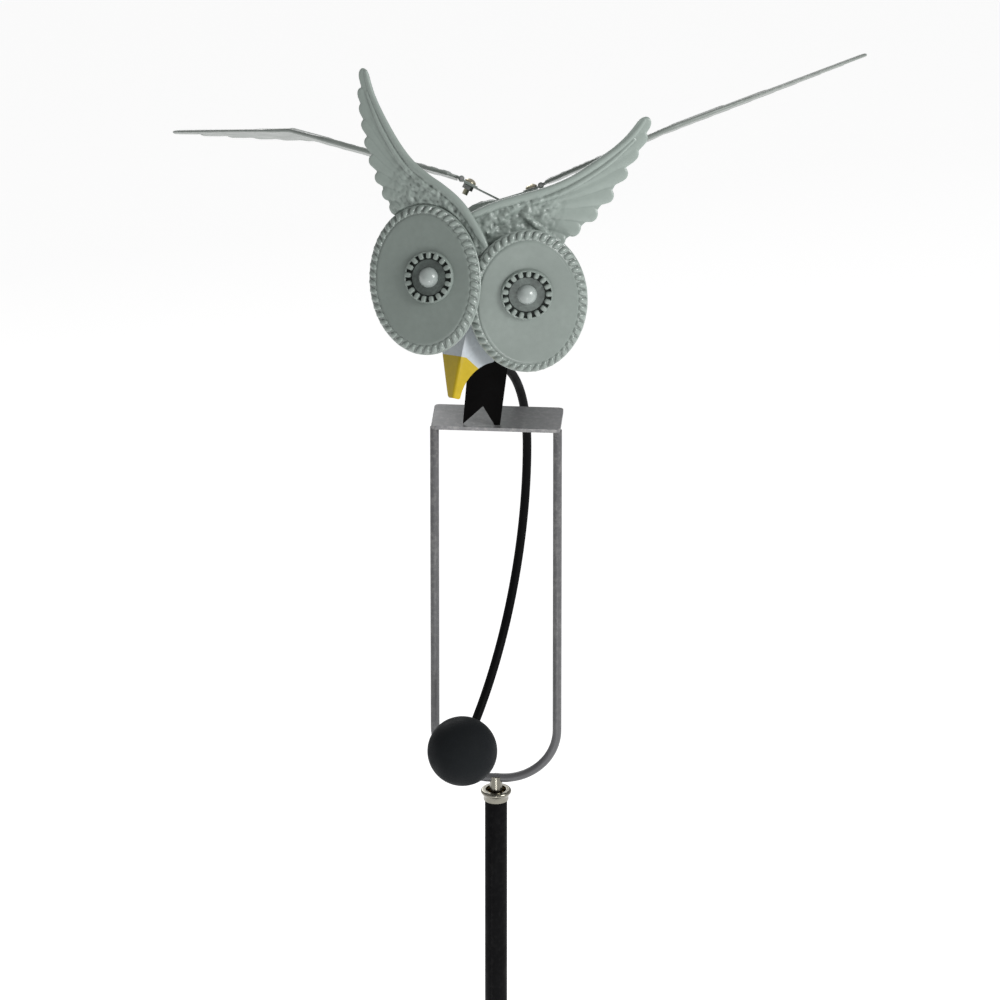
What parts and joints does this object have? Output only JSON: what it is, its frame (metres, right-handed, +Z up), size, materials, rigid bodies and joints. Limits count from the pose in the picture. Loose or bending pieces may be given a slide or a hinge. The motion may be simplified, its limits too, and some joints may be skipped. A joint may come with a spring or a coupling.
{
  "type": "rocking owl on a ground stake",
  "caption": "Sheet-steel owl with hinged wings that rocks on a swivelling yoke, balanced by a ball on a bent rod, on a pole with ground spikes.",
  "frame": {"origin": "on the axis of the ground spike and of the pole, at the ground line", "axes": "+Z up along the pole, -Y the way the owl faces at rest, +X to the right as seen from the front"},
  "size_m": [0.4994, 0.3035, 1.3412],
  "materials": {
    "owl_enamel": "semi-gloss silver-grey enamel with a slight green cast",
    "black_paint": "satin black powder coat",
    "yoke_paint": "satin grey powder coat",
    "stake_steel": "dark satin powder coat, worn at the points",
    "nickel": "nickel plate, slightly dulled",
    "bush_brass": "turned",
    "plain_steel": "plain zinc-plated steel",
    "hinge_steel": "painted like the owl, worn at the knuckles",
    "screw_zinc": "yellowish zinc plate",
    "beak_paint": "yellow enamel that fades to grey at the top"
  },
  "bodies": {
    "stake": {"ground_spike": "stake_steel", "side_prongs": "stake_steel", "foot_bar": "stake_steel", "lower_pole": "black_paint", "pole_coupler": "plain_steel", "coupler_screws": "plain_steel", "upper_pole": "black_paint", "pole_ferrule": "nickel", "swivel_bush": "bush_brass", "thrust_ball": "plain_steel"},
    "yoke": {"swivel_pin": "nickel", "yoke": "yoke_paint", "perch_plate": "yoke_paint"},
    "owl": {"leg_bracket": "black_paint", "leg_rivets": "black_paint", "back_shell": "owl_enamel", "belly_shell": "owl_enamel", "breast_plate": "owl_enamel", "tail_fan": "owl_enamel", "tail_screws": "plain_steel", "face_bracket": "plain_steel", "neck_spacer": "plain_steel", "neck_bolt": "plain_steel", "pendulum_rod": "black_paint", "counterweight_ball": "black_paint", "wing_saddle": "owl_enamel", "hinge_leaf_left": "hinge_steel", "hinge_leaf_right": "hinge_steel", "hinge_pins": "plain_steel", "hinge_screws": "screw_zinc", "hinge_washers": "screw_zinc", "hinge_nuts": "plain_steel", "eye_disc_left": "owl_enamel", "eye_disc_right": "owl_enamel", "rope_rim_left": "owl_enamel", "rope_rim_right": "owl_enamel", "eye_ring_left": "owl_enamel", "eye_ring_right": "owl_enamel", "eye_rivets": "owl_enamel", "ear_left": "owl_enamel", "ear_right": "owl_enamel", "beak": "beak_paint"},
    "wing_left": {"wing_left": "owl_enamel"},
    "wing_right": {"wing_right": "owl_enamel"}
  },
  "joints": [
    {"name": "yoke_swivel", "type": "hinge", "parent": "stake", "child": "yoke", "pos_m": [0, 0, 0.6], "axis": [0, 0, 1], "continuous": true},
    {"name": "owl_rock", "type": "hinge", "parent": "yoke", "child": "owl", "pos_m": [-0.01135, 0, 0.9], "axis": [1, 0, 0], "range_deg": [-20, 6.5]},
    {"name": "wing_left_flap", "type": "hinge", "parent": "owl", "child": "wing_left", "pos_m": [-0.0261, 0.02363, 1.07979], "axis": [-0.0647, 0.9058, -0.4188], "range_deg": [0, 30]},
    {"name": "wing_right_flap", "type": "hinge", "parent": "owl", "child": "wing_right", "pos_m": [0.02998, 0.02559, 1.07538], "axis": [0.0647, -0.9058, 0.4188], "range_deg": [0, 30]}
  ]
}
